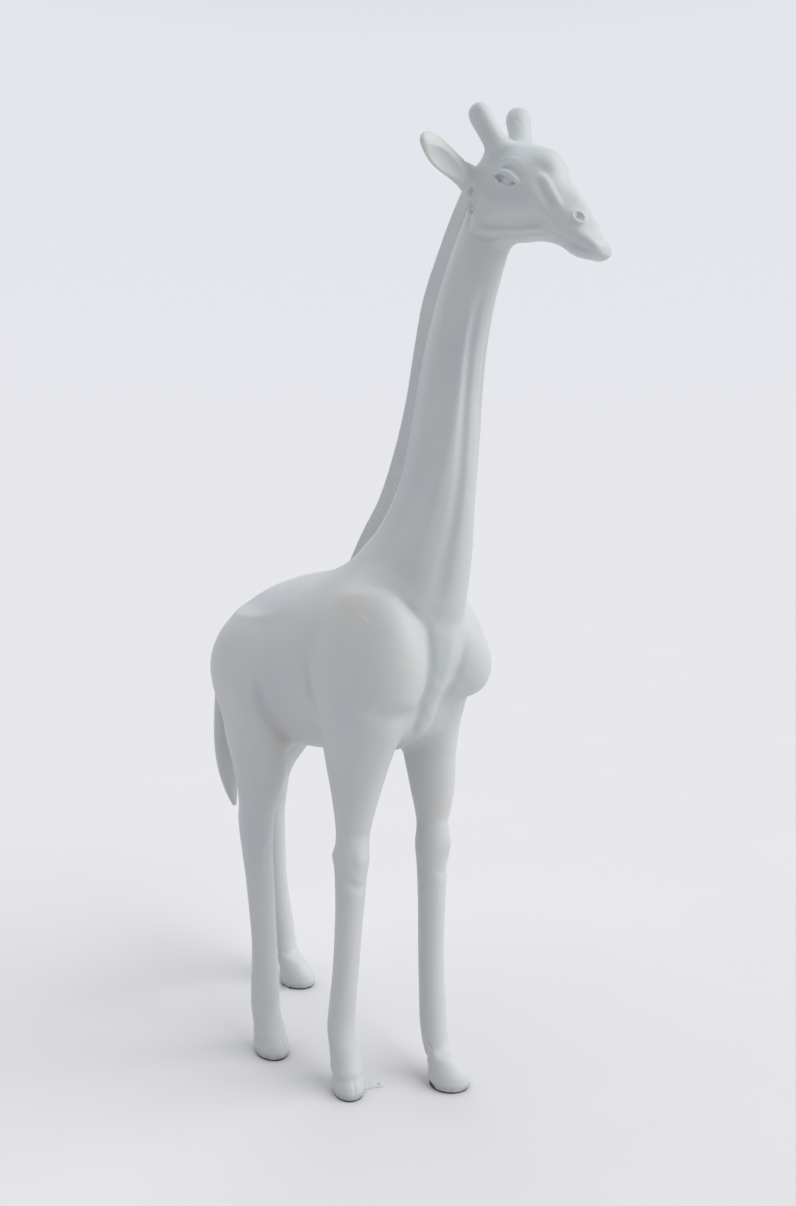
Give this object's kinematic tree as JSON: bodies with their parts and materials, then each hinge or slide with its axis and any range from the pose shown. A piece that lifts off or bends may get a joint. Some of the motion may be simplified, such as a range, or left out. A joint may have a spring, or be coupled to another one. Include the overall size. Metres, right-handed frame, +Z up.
{
  "type": "giraffe statue",
  "caption": "Standing giraffe statue in mid stride: hollow satin-white moulded skin over a welded steel frame, on steel soles with drilled ground straps.",
  "frame": {"origin": "middle of the bounding box, on the ground", "axes": "+Z up; the animal faces -Y; its right side is -X and its left side is +X"},
  "size_m": [0.4251, 1.3542, 2.3879],
  "materials": {
    "painted_skin": "satin white paint over glass-fibre laminate",
    "sole_steel": "dark worn paint",
    "strap_steel": "thin grey paint over flat bar",
    "frame_steel": "primer",
    "laminate_tape": "raw glass-fibre laminate"
  },
  "bodies": {
    "root": {"trunk_shell_right": "painted_skin", "trunk_shell_left": "painted_skin", "neck_shell_right": "painted_skin", "neck_shell_left": "painted_skin", "head_shell_right": "painted_skin", "head_shell_left": "painted_skin", "ear_right": "painted_skin", "ear_left": "painted_skin", "horn_right": "painted_skin", "horn_left": "painted_skin", "mane": "painted_skin", "tail": "painted_skin", "front_right_leg_outer": "painted_skin", "front_right_leg_inner": "painted_skin", "front_right_hoof": "painted_skin", "front_left_leg_outer": "painted_skin", "front_left_leg_inner": "painted_skin", "front_left_hoof": "painted_skin", "hind_right_leg_outer": "painted_skin", "hind_right_leg_inner": "painted_skin", "hind_right_hoof": "painted_skin", "hind_left_leg_outer": "painted_skin", "hind_left_leg_inner": "painted_skin", "hind_left_hoof": "painted_skin", "front_right_leg_tube": "frame_steel", "front_left_leg_tube": "frame_steel", "hind_right_leg_tube": "frame_steel", "hind_left_leg_tube": "frame_steel", "shoulder_cross_tube": "frame_steel", "hip_cross_tube": "frame_steel", "spine_tube": "frame_steel", "neck_tube": "frame_steel", "tail_rod": "frame_steel", "head_anchor_plate": "frame_steel", "horn_pin_right": "frame_steel", "horn_pin_left": "frame_steel", "ear_pin_right": "frame_steel", "ear_pin_left": "frame_steel", "trunk_seam_tape": "laminate_tape", "neck_front_seam_tape": "laminate_tape", "neck_rear_seam_tape": "laminate_tape", "head_seam_tape": "laminate_tape", "front_right_sole_plate": "sole_steel", "front_left_sole_plate": "sole_steel", "hind_right_sole_plate": "sole_steel", "hind_left_sole_plate": "sole_steel", "front_right_ground_strap": "strap_steel", "front_left_ground_strap": "strap_steel", "hind_right_ground_strap": "strap_steel", "hind_left_ground_strap": "strap_steel"}
  },
  "joints": []
}
